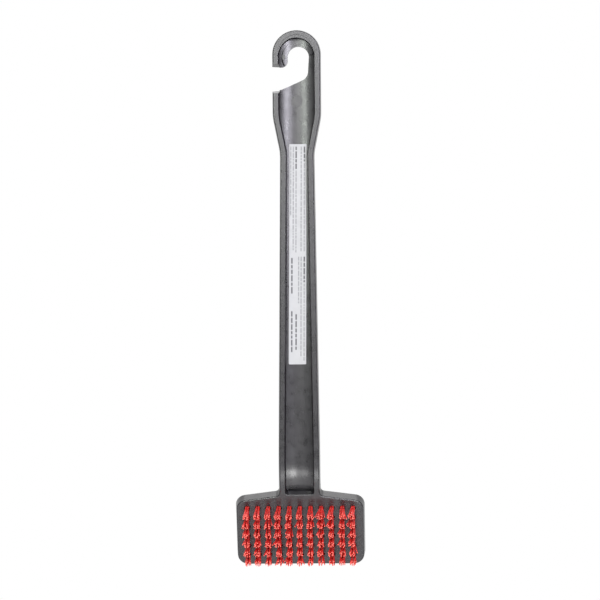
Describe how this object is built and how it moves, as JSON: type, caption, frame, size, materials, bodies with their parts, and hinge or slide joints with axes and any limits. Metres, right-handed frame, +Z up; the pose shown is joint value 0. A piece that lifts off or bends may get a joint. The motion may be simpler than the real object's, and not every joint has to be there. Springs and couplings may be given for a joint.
{
  "type": "grill cleaning brush",
  "caption": "Long one-piece grill brush: open hanging hook, waisted U-section handle with a care label, and a tilted rectangular head set with rows of stiff red nylon tufts.",
  "frame": {"origin": "centre of the hook's round seat, halfway through the hook's floor", "axes": "hanging pose: +Z up the handle to the hook; the open side of the handle and the bristles face -Y; the hook's mouth opens to -X; +X completes the right-handed frame"},
  "size_m": [0.111, 0.0492, 0.4617],
  "materials": {
    "moulding": "black polypropylene moulding, satin with fine moulded grain",
    "label_paper": "white coated paper label with grey greeked bars and no words",
    "bristle": "bright red nylon filaments, semi-gloss, paler at the cut tips",
    "anchor_wire": "flat drawn galvanised wire"
  },
  "bodies": {
    "root": {"handle_body": "moulding", "label": "label_paper", "tuft_column_01": "bristle", "tuft_column_02": "bristle", "tuft_column_03": "bristle", "tuft_column_04": "bristle", "tuft_column_05": "bristle", "tuft_column_06": "bristle", "tuft_column_07": "bristle", "tuft_column_08": "bristle", "tuft_column_09": "bristle", "tuft_column_10": "bristle", "tuft_column_11": "bristle", "anchor_column_01": "anchor_wire", "anchor_column_02": "anchor_wire", "anchor_column_03": "anchor_wire", "anchor_column_04": "anchor_wire", "anchor_column_05": "anchor_wire", "anchor_column_06": "anchor_wire", "anchor_column_07": "anchor_wire", "anchor_column_08": "anchor_wire", "anchor_column_09": "anchor_wire", "anchor_column_10": "anchor_wire", "anchor_column_11": "anchor_wire"}
  },
  "joints": []
}
